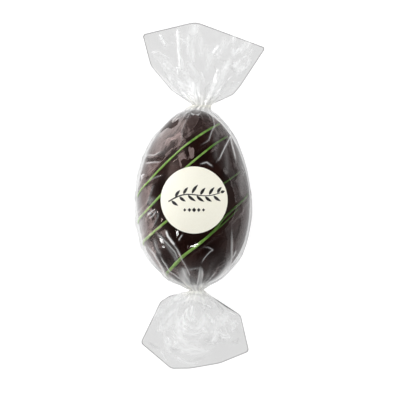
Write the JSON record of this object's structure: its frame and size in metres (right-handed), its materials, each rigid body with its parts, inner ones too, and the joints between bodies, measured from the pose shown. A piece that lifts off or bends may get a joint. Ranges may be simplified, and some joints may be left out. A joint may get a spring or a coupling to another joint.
{
  "type": "wrapped marzipan egg",
  "caption": "Chocolate-coated marzipan egg with green drizzle, in clear film gathered into a fan at each end, with a round paper label.",
  "frame": {"origin": "middle of the small flat spot that the egg lies on, straight under the middle of the label", "axes": "+Z up through the label, +Y along the egg towards its narrower end and the wider fan, +X to the right when seen from above with +Y up"},
  "size_m": [0.0475, 0.1272, 0.0382],
  "materials": {
    "clear_film": "gloss",
    "label_paper": "coated paper",
    "dark_chocolate": "satin",
    "green_icing": "satin"
  },
  "bodies": {
    "root": {"wrapper": "clear_film", "label": "label_paper"}
  },
  "joints": []
}
